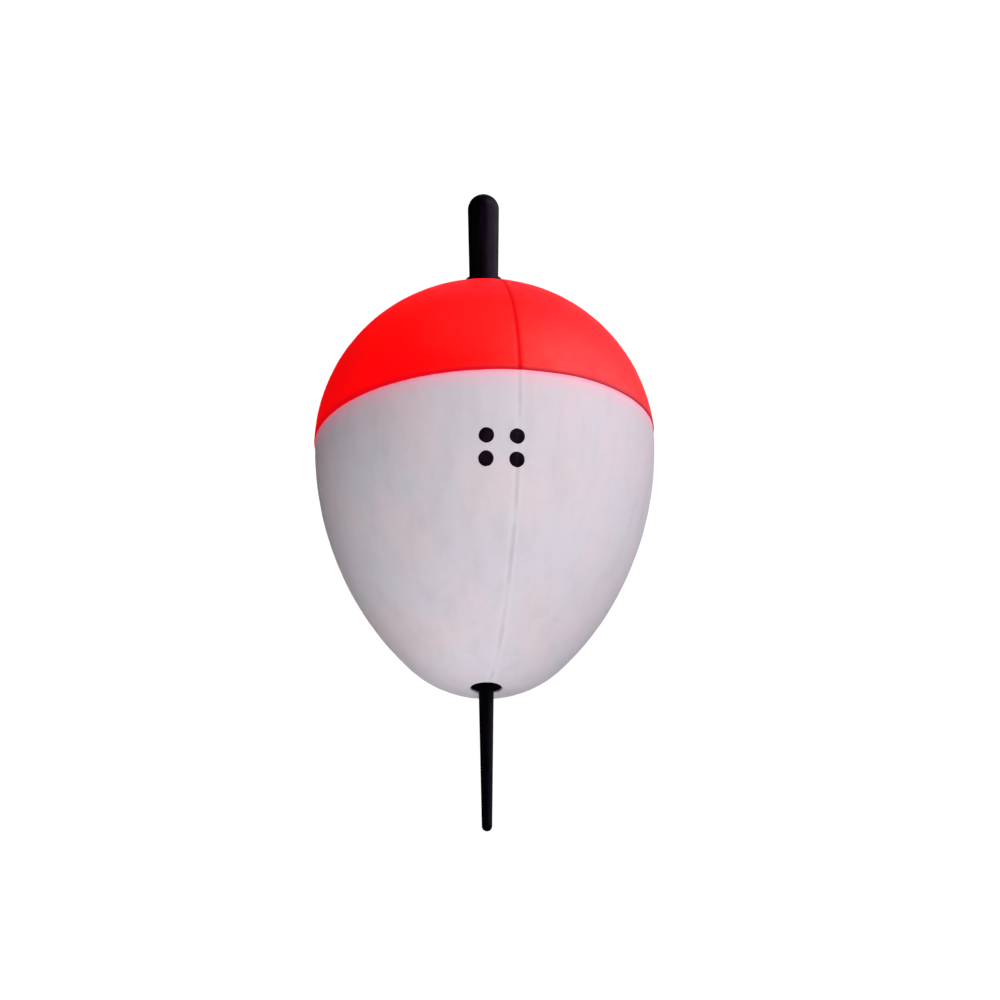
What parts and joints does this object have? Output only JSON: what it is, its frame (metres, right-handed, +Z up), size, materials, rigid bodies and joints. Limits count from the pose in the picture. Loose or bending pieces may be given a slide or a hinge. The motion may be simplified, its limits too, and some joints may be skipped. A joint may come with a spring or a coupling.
{
  "type": "bobber float",
  "caption": "Egg-shaped foam fishing float, red above and white below, with a black line sleeve through its axis and a tapered locking peg that pulls out of the top.",
  "frame": {"origin": "on the line axis, at the centre of the body's widest circle", "axes": "+Z up the line axis towards the red end and the peg's head; -Y towards the front, where the load mark is; +X to the right seen from the front"},
  "size_m": [0.0219, 0.022, 0.0446],
  "materials": {
    "foam": "matte",
    "white_lacquer": "satin",
    "red_lacquer": "satin",
    "mark_ink": "matte",
    "sleeve_plastic": "satin",
    "peg_plastic": "satin"
  },
  "bodies": {
    "float_body": {"foam_core": "foam", "white_coat": "white_lacquer", "red_coat": "red_lacquer", "load_mark": "mark_ink", "line_sleeve": "sleeve_plastic"},
    "peg": {"locking_peg": "peg_plastic"}
  },
  "joints": [
    {"name": "peg_slide", "type": "slide", "parent": "float_body", "child": "peg", "axis": [0, 0, 1], "range_m": [0, 0.045]}
  ]
}
